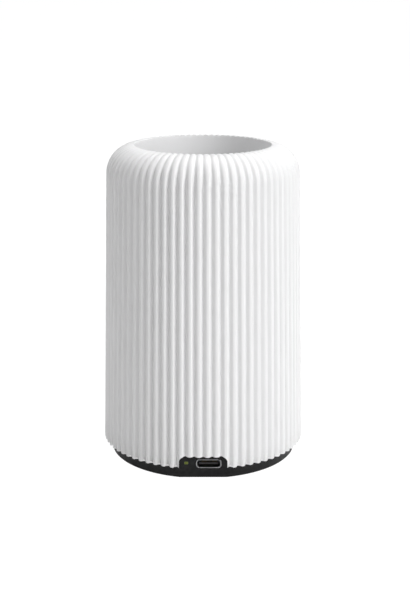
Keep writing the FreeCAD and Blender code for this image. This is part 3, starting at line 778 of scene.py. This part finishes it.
def slotted_tree() -> GeometryTree:
    """A round plate with two rings of round-ended slots.

    Returns:
        The tree. It makes its own plate and doesn't use its mesh input.
    """
    t = GeometryTree("slotted_plate")
    radius, thickness, top, width = t.lengths("Plate Radius", "Plate Thickness", "Plate Top", "Slot Width")
    rings = [[t.takes(f"{ring} Slot {part}", kind) for part, kind in
              (("Count", "Int"), ("Start", "Float"), ("End", "Float"))] for ring in ("Inner", "Outer")]
    cutter, below, nearly_half = 0.01, 0.006, 0.49
    plate = t.add("MeshCylinder", {"Vertices": 192, "Radius": radius, "Depth": thickness})
    middle = t.math("MULTIPLY_ADD", thickness, -0.5, top)
    placed = t.moved(plate, t.vector(0.0, 0.0, middle))
    tools = []
    for count, start, end in rings:
        slot = t.prism(width, t.math("SUBTRACT", end, start), t.math("MULTIPLY", width, nearly_half), cutter)
        far = t.math("MULTIPLY", t.math("ADD", start, end), -0.5)
        laid = t.moved(slot, t.vector(0.0, far, t.math("SUBTRACT", top, below)))
        tools.append(t.add("RealizeInstances", {0: t.around(laid, count)}))
    t.finish(t.cut(placed, *tools))
    return t


def screw_tree() -> GeometryTree:
    """Cross-recess screws driven upwards, one at each point.

    Returns:
        The tree. Its mesh input is the points under the heads' seats.
    """
    t = GeometryTree("screw_set")
    head_radius, head_height, shank_radius, shank_length, recess = t.lengths(
        "Head Radius", "Head Height", "Shank Radius", "Shank Length", "Recess Width")
    head = t.add("MeshCylinder", {"Vertices": 48, "Radius": head_radius, "Depth": head_height})
    low = t.moved(head, t.vector(0.0, 0.0, t.math("MULTIPLY", head_height, -0.5)))
    arm = t.prism(t.math("MULTIPLY", head_radius, 1.1), recess, t.math("MULTIPLY", recess, 0.3), 0.0012)
    drop = t.math("MULTIPLY", head_height, -1.25)
    arms = [t.moved(arm, t.vector(0.0, 0.0, drop), (0, 0, angle)) for angle in (0, math.pi / 2)]
    shank = t.add("MeshCylinder", {"Vertices": 32, "Radius": shank_radius, "Depth": shank_length})
    high = t.moved(shank, t.vector(0.0, 0.0, t.math("MULTIPLY", shank_length, 0.5)))
    one = t.joined(t.cut(low, *arms), high)
    spread = t.add("InstanceOnPoints", {0: t.given, "Instance": one})
    t.finish(spread)
    return t


def contact_tree() -> GeometryTree:
    """Two rows of flat contacts, on the upper and the lower face of a tongue.

    Returns:
        The tree. It doesn't use its mesh input.
    """
    t = GeometryTree("contact_rows")
    count = t.takes("Contacts per Row", "Int")
    pitch, width, length, thickness, spread = t.lengths(
        "Pitch", "Contact Width", "Contact Length", "Thickness", "Tongue Thickness")
    middle = t.takes("Middle", "Vector")
    bar = t.prism(width, length, t.math("MULTIPLY", width, 0.35), thickness)
    row = t.add("MeshLine", {"Count": count, "Offset": t.vector(pitch, 0.0, 0.0)}, mode="OFFSET")
    half = t.math("MULTIPLY", t.math("MULTIPLY", t.math("SUBTRACT", count, 1.0), pitch), -0.5)
    centred = t.moved(row, t.vector(half, 0.0, 0.0))
    bars = t.add("InstanceOnPoints", {0: centred, "Instance": bar})
    reach = t.math("MULTIPLY", spread, 0.5)
    upper = t.moved(bars, t.vector(0.0, 0.0, reach))
    lower = t.moved(bars, t.vector(0.0, 0.0, t.math("MULTIPLY", reach, -1.0)), (0, math.pi, 0))
    both = t.add("RealizeInstances", {0: t.joined(upper, lower)})
    t.finish(t.moved(both, middle))
    return t


# ---- sub-assemblies
@dataclass
class Assembly:
    """A sub-assembly with what its pieces need: the finishes, the turning tree and the frame's nodes."""

    palette: Palette
    lathe: GeometryTree
    nodes: dict[str, Object]


@dataclass
class Tower(Assembly):
    """The white fluted shell with its rolled rim and the notch over the socket."""

    top: float = 114.1
    bottom: float = 5.0
    foot_radius: float = 37.0
    draft: float = math.radians(1.43)
    wall: float = 2.5
    rim_radius: float = 24.3
    rim_roll: float = 0.35
    bottom_roll: float = 0.3
    collar_wall: float = 1.8
    collar_bottom: float = 98.1
    flute_count: int = 72
    flute_depth: float = 1.1
    flute_narrowness: float = 2.0
    flute_at_rim: float = 0.26
    flute_ease: float = 1.7
    columns_per_flute: int = 14
    notch_width: float = 17.1
    notch_top: float = 9.4
    notch_corner: float = 2.2
    notch_front: float = -28.0
    wall_steps: int = 14
    shoulder_steps: int = 26

    def shoulder_radius(self) -> float:
        """Radius of the shoulder, tangent to the drafted wall and level at the rim."""
        s, c = math.sin(self.draft), math.cos(self.draft)
        reach = (self.foot_radius - self.rim_radius) * c + (self.bottom - self.top) * s
        return reach / (1 - s)

    def wall_radius(self, z: float, inwards: float = 0.0) -> float:
        """Crest radius of the wall at a height, or of a surface offset inwards."""
        return self.foot_radius - (z - self.bottom) * math.tan(self.draft) - inwards / math.cos(self.draft)

    def profile(self) -> Profile:
        """The shell's outline, from the inside of its bottom edge, outwards, up, over the rim and back.

        Returns:
            The profile.
        """
        p = Profile()
        shoulder = self.shoulder_radius()
        centre = (self.rim_radius, self.top - shoulder)
        draft = math.degrees(self.draft)
        ray = (math.cos(self.draft), math.sin(self.draft))
        roll, rim = self.bottom_roll, self.rim_roll
        inner_foot = self.wall_radius(self.bottom, self.wall)
        p.point(inner_foot, self.bottom)
        foot = (self.wall_radius(self.bottom + roll, roll), self.bottom + roll)
        p.point(foot[0] - 0.6, self.bottom, 0.6, ray)
        p.arc(foot, roll, -90, draft, 5, (1, 1), rub=0.6)
        start = (foot[0] + roll * ray[0], foot[1] + roll * ray[1])
        end = (centre[0] + shoulder * ray[0], centre[1] + shoulder * ray[1])
        p.run(start, end, self.wall_steps, ends=False, flute=1.0, outward=ray)
        last = 90 - math.degrees(rim / shoulder)
        p.arc(centre, shoulder, draft, last, self.shoulder_steps, (1.0, self.flute_at_rim), ease=self.flute_ease)
        p.arc((self.rim_radius + rim, self.top - rim), rim, 90, 180, 5, (self.flute_at_rim, self.flute_at_rim),
              rub=0.35, push=(0, 1))
        p.run((self.rim_radius, self.top - rim - 1.2), (self.rim_radius, self.collar_bottom + 0.2), 6)
        collar_out = self.rim_radius + self.collar_wall
        p.point(self.rim_radius + 0.2, self.collar_bottom)
        p.point(collar_out, self.collar_bottom)
        inner = shoulder - self.wall
        p.arc(centre, inner, math.degrees(math.acos(self.collar_wall / inner)), draft, 10)
        return p

    def build(self) -> None:
        """Builds the shell and hands it over."""
        white = self.palette.materials[Slot.SHELL]
        blank = self.profile().turned(self.lathe, "shell_blank", white, self.flute_count * self.columns_per_flute,
                                      self.flute_count, self.flute_depth, self.flute_narrowness)
        shell = notch_tree().run(blank, "fluted_shell", white, {
            "Notch Width": self.notch_width, "Notch Top": self.notch_top, "Corner Radius": self.notch_corner,
            "Front": self.notch_front})
        self.palette.settle(shell, Slot.SHELL, "outer_shell")


@dataclass
class Well(Assembly):
    """The smooth liner below the collar and the slotted grille that closes it."""

    edge: float = 0.2
    floor_z: float = 84.0
    floor_radius: float = 23.6
    top_radius: float = 24.2
    outer_radius: float = 27.6
    collar_bottom: float = 98.1
    lap_radius: float = 26.3
    lap_height: float = 8.0
    flange_radius: float = 30.4
    flange_z: float = 99.05
    flange_thickness: float = 1.5
    plate_thickness: float = 1.8
    slot_width: float = 1.8
    inner_slots: tuple[int, float, float] = (12, 5.0, 11.0)
    outer_slots: tuple[int, float, float] = (24, 12.8, 20.5)

    def build(self) -> None:
        """Builds both pieces and hands them over."""
        white = self.palette.materials[Slot.LINER]
        top = self.collar_bottom - 0.1
        flange_top = self.flange_z + self.flange_thickness
        p = Profile()
        p.run((self.floor_radius, self.floor_z), (self.top_radius, top - 0.3), 12)
        p.point(self.top_radius + 0.3, top, rub=0.3)
        for r, z in ((self.lap_radius, top), (self.lap_radius, top + self.lap_height),
                     (self.outer_radius, top + self.lap_height), (self.outer_radius, flange_top),
                     (self.flange_radius, flange_top), (self.flange_radius, self.flange_z),
                     (self.outer_radius, self.flange_z), (self.outer_radius, self.floor_z)):
            p.point(r, z)
        self.palette.settle(p.turned(self.lathe, "well_liner", white), Slot.LINER, "air_well")
        host = new_object("grille_start", bpy.data.meshes.new("grille_start"))
        (inner, inner_start, inner_end), (outer, outer_start, outer_end) = self.inner_slots, self.outer_slots
        grille = slotted_tree().run(host, "well_grille", white, {
            "Plate Radius": self.outer_radius, "Plate Thickness": self.plate_thickness, "Plate Top": self.floor_z,
            "Slot Width": self.slot_width, "Inner Slot Start": inner_start, "Inner Slot End": inner_end,
            "Outer Slot Start": outer_start, "Outer Slot End": outer_end,
        }, {"Inner Slot Count": inner, "Outer Slot Count": outer})
        self.palette.settle(softened(grille, self.edge), Slot.LINER, "vent_grille")


@dataclass
class Base(Assembly):
    """The black tray, the rubber ring it stands on, its screws and its recessed key."""

    edge: float = 0.18
    screw_edge: float = 0.16
    foot_inner: float = 28.7
    foot_outer: float = 30.8
    foot_top: float = 1.1
    foot_roll: float = 0.3
    screw_ring: float = 26.0
    head_seat: float = 3.4
    head_radius: float = 2.2
    head_height: float = 1.6
    shank_radius: float = 0.9
    recess: float = 0.5
    shell_screws: tuple[float, ...] = (45.0, 135.0, 225.0, 315.0)
    frame_screws: tuple[float, ...] = (90.0, 270.0)
    key_x: float = 17.0
    key_y: float = -7.9
    key_outline: tuple[tuple[float, float], ...] = (
        (1.9, 1.24), (2.0, 1.38), (2.0, 2.25), (2.8, 2.25), (2.8, 3.05), (1.4, 3.05), (1.4, 10.9), (1.3, 11.0),
        (0.0, 11.0))

    def build(self) -> None:
        """Builds the base's pieces and hands them over."""
        tray = softened_copy(self.nodes["base_tray"], "base_shell", self.edge)
        self.palette.settle(tray, Slot.BASE, "base_tray")
        self._foot()
        driver = screw_tree()
        for name, node, angles in (("shell_screw_set", "shell_screws", self.shell_screws),
                                   ("frame_screw_set", "frame_screws", self.frame_screws)):
            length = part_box(node)[1][2] / MM - self.head_seat
            seats = bpy.data.meshes.new(name)
            seats.from_pydata([self._on_ring(angle) for angle in angles], [], [])
            screws = driver.run(new_object(name + "_seats", seats), name, self.palette.materials[Slot.SCREW], {
                "Head Radius": self.head_radius, "Head Height": self.head_height,
                "Shank Radius": self.shank_radius, "Shank Length": length, "Recess Width": self.recess})
            self.palette.settle(softened(screws, self.screw_edge), Slot.SCREW, node)
        self._key()

    def _on_ring(self, angle: float) -> tuple[float, float, float]:
        """Where a screw's head seats, in metres."""
        a = math.radians(angle)
        return (self.screw_ring * math.sin(a) * MM, -self.screw_ring * math.cos(a) * MM, self.head_seat * MM)

    def _foot(self) -> None:
        """Turns the rubber ring."""
        roll = self.foot_roll
        p = Profile()
        p.point(self.foot_inner, self.foot_top)
        p.arc((self.foot_inner + roll, roll), roll, 180, 270, 4)
        p.arc((self.foot_outer - roll, roll), roll, 270, 360, 4)
        p.point(self.foot_outer, self.foot_top)
        foot = p.turned(self.lathe, "foot_ring", self.palette.materials[Slot.FOOT])
        self.palette.settle(foot, Slot.FOOT, "rubber_foot")

    def _key(self) -> None:
        """Turns the key with its hollow face, its flange and its rod."""
        p = Profile()
        steps, hollow_radius, bowl, bowl_centre = 6, 1.7, 6.0, -4.55
        for step in range(steps + 1):
            r = hollow_radius * step / steps
            p.point(r, math.sqrt(bowl * bowl - r * r) + bowl_centre)
        for r, z in self.key_outline:
            p.point(r, z)
        cap = p.turned(self.lathe, "reset_cap", self.palette.materials[Slot.KEY], columns=72)
        cap.data.transform(Matrix.Translation(Vector((self.key_x, self.key_y, 0)) * MM))
        self.palette.settle(cap, Slot.KEY, "reset_key", KEY)


@dataclass
class PowerSocket(Assembly):
    """The rolled steel shell of the socket, its tongue with contacts, and the light beside it."""

    x: float = 1.98
    z: float = 5.4
    face: float = -32.6
    width: float = 8.94
    height: float = 3.26
    wall: float = 0.3
    corner: float = 1.25
    depth: float = 7.35
    thin_from: float = 2.0
    tongue_edge: float = 0.08
    window_edge: float = 0.07
    contact_middle: float = 3.1
    contacts: tuple[tuple[str, float], ...] = (
        ("Pitch", 0.5), ("Contact Width", 0.24), ("Contact Length", 4.2), ("Thickness", 0.08),
        ("Tongue Thickness", 0.7))

    def _loop(self, inset: float, y: float, steps: int = 12) -> list[tuple[float, float, float]]:
        """One round-cornered loop of the shell.

        Args:
            inset: how far inside the outer outline.
            y: distance behind the face.
            steps: stretches in each corner.

        Returns:
            The loop's points in metres.
        """
        radius = self.corner - inset
        reach_x = self.width / 2 - self.corner
        reach_z = self.height / 2 - self.corner
        points = []
        for quarter, (sx, sz) in enumerate(((1, 1), (-1, 1), (-1, -1), (1, -1))):
            for i in range(steps + 1):
                a = math.radians(90 * (quarter + i / steps))
                points.append(((self.x + sx * reach_x + radius * math.cos(a)) * MM, (self.face + y) * MM,
                               (self.z + sz * reach_z + radius * math.sin(a)) * MM))
        return points

    def build(self) -> None:
        """Builds the pieces and hands them over."""
        half = self.wall / 2
        rolled = [(half + half * math.cos(math.radians(a)), half - half * math.sin(math.radians(a)))
                  for a in range(0, 181, 30)]
        rings = [(self.wall, self.depth), (self.wall, self.thin_from), *rolled, (0.0, self.thin_from),
                 (0.0, self.depth)]
        verts = [point for inset, y in rings for point in self._loop(inset, y)]
        count = len(verts) // len(rings)
        faces = []
        for ring in range(len(rings)):
            after = (ring + 1) % len(rings)
            for i in range(count):
                j = (i + 1) % count
                faces.append((ring * count + i, ring * count + j, after * count + j, after * count + i))
        mesh = bpy.data.meshes.new("socket_shell")
        mesh.from_pydata(verts, [], faces)
        face_outwards(mesh)
        mesh.shade_smooth()
        self.palette.settle(new_object("socket_shell", mesh), Slot.SOCKET_STEEL, "port_shell")
        tongue = softened_copy(self.nodes["port_insulator"], "socket_tongue", self.tongue_edge)
        self.palette.settle(tongue, Slot.SOCKET_BLACK, "port_insulator")
        host = new_object("contact_start", bpy.data.meshes.new("contact_start"))
        rows = contact_tree().run(host, "socket_contacts", self.palette.materials[Slot.GOLD], dict(self.contacts), {
            "Contacts per Row": 12, "Middle": (self.x * MM, (self.face + self.contact_middle) * MM, self.z * MM)})
        self.palette.settle(rows, Slot.GOLD, "port_contacts")
        window = softened_copy(self.nodes["light_guide"], "light_window", self.window_edge)
        self.palette.settle(window, Slot.LIGHT, "light_guide")


# ---- studio
@dataclass(frozen=True)
class SoftLight:
    """A square light that looks at the tower's middle. Angles are in degrees, power in watts, sizes in metres."""

    name: str
    azimuth: float
    elevation: float
    power: float
    distance: float = 1.1
    size: float = 0.35

    def build(self) -> None:
        """Adds the light, whose azimuth goes from the front towards the right."""
        data = bpy.data.lights.new(self.name, "AREA")
        data.size = self.size
        data.energy = self.power
        light = bpy.data.objects.new(self.name, data)
        a, e = math.radians(self.azimuth), math.radians(self.elevation)
        away = Vector((math.sin(a) * math.cos(e), -math.cos(a) * math.cos(e), math.sin(e)))
        light.location = Vector((0, 0, TOWER_MIDDLE)) + away * self.distance
        light.rotation_euler = away.to_track_quat("Z", "Y").to_euler()
        bpy.context.scene.collection.objects.link(light)


LIGHTS = (
    SoftLight("key", 60, 45, 4.46), SoftLight("side", 40, 12, 1.15), SoftLight("front", -20, 12, 0.75),
    SoftLight("fill", -60, 12, 0.23), SoftLight("rim", -120, 12, 1.30), SoftLight("behind", 135, 45, 3.00),
    SoftLight("top", 0, 88, 1.36, 0.8, 0.7), SoftLight("key_low", 60, 12, 2.23),
    SoftLight("side_high", 40, 45, 1.36), SoftLight("front_high", -20, 45, 1.31),
    SoftLight("rim_high", -120, 45, 2.05), SoftLight("behind_high", 180, 70, 2.62),
    SoftLight("under", 0, -90, 0.9, 0.5, 0.05),
)


@dataclass
class Studio:
    """Floor, soft lights and the camera."""

    distance: float = 444.0
    height: float = 177.0
    pitch: float = 15.41
    yaw: float = -0.0906
    lens: float = 73.87
    floor_side: float = 6.0
    floor_colour: tuple[float, ...] = (0.9, 0.9, 0.9, 1)
    floor_glow: float = 1.18
    glow_share: float = 0.85

    def build(self) -> None:
        """Sets up everything that isn't the object."""
        settings = bpy.context.scene.view_settings
        settings.view_transform = "Standard"
        settings.look = "None"
        self._camera()
        self._floor()
        self._world()
        for light in LIGHTS:
            light.build()

    def _camera(self) -> None:
        """Adds the camera."""
        data = bpy.data.cameras.new("camera")
        data.lens = self.lens
        data.sensor_width = 36.0
        data.clip_start = 0.01
        camera = bpy.data.objects.new("camera", data)
        camera.location = Vector((0, -self.distance, self.height)) * MM
        camera.rotation_euler = (math.radians(90 - self.pitch), 0, math.radians(self.yaw))
        bpy.context.scene.collection.objects.link(camera)
        bpy.context.scene.camera = camera

    def _floor(self) -> None:
        """Adds the pale floor, which is clear from below so that the underside can be seen."""
        mesh = bpy.data.meshes.new("floor")
        side = self.floor_side
        mesh.from_pydata([(-side, -side, 0), (side, -side, 0), (side, side, 0), (-side, side, 0)], [], [(0, 1, 2, 3)])
        material = bpy.data.materials.new("pale_floor")
        material.use_nodes = True
        tree = material.node_tree
        add = partial(add_node, tree)
        shader = tree.nodes["Principled BSDF"]
        for name, value in (("Base Color", self.floor_colour), ("Roughness", 0.9), ("Specular IOR Level", 0.0)):
            shader.inputs[name].default_value = value
        lit = add("ShaderNodeEmission", {"Color": WHITE, "Strength": self.floor_glow})
        path = add("ShaderNodeLightPath")
        seen = add("ShaderNodeMath", {0: path.outputs["Is Camera Ray"], 1: self.glow_share}, operation="MULTIPLY")
        both = add("ShaderNodeMixShader", {0: seen, 1: shader, 2: lit})
        clear = add("ShaderNodeBsdfTransparent")
        below = add("ShaderNodeNewGeometry").outputs["Backfacing"]
        passing = add("ShaderNodeMath", {0: below, 1: path.outputs["Is Shadow Ray"]}, operation="MAXIMUM")
        one_sided = add("ShaderNodeMixShader", {0: passing, 1: both, 2: clear})
        feed(tree, tree.nodes["Material Output"].inputs["Surface"], one_sided)
        mesh.materials.append(material)
        new_object("floor", mesh)

    @staticmethod
    def _world() -> None:
        """Adds a surround that looks white and lights nothing."""
        world = bpy.data.worlds.new("surround")
        world.use_nodes = True
        tree = world.node_tree
        tree.nodes.clear()
        path = tree.nodes.new("ShaderNodeLightPath")
        seen = add_node(tree, "ShaderNodeBackground", {"Color": WHITE, "Strength": path.outputs["Is Camera Ray"]})
        add_node(tree, "ShaderNodeOutputWorld", {"Surface": seen})
        bpy.context.scene.world = world


# ---- carried-over nodes
def dress_frame(frame: dict, palette: Palette) -> None:
    """Gives every node of the frame that is still shown its own finish.

    Args:
        palette: the finishes.
    """
    slots = {entry["node"]: Slot(entry["material_slot"]) for entry in frame["record"]["subparts"]}
    for name, node in frame["nodes"].items():
        palette.dress(node, slots[name])
        LOG.info("%s keeps its shape and gets the finish %s", name, slots[name].value)


def main() -> None:
    """Builds the whole scene around the frame."""
    logging.basicConfig(level=logging.INFO, format="%(name)s: %(message)s")
    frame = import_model()
    palette = Palette()
    dress_frame(frame, palette)
    lathe = turning_tree()
    for assembly in (Tower, Well, Base, PowerSocket):
        assembly(palette, lathe, frame["nodes"]).build()
    Studio().build()


if __name__ == "__main__":
    main()
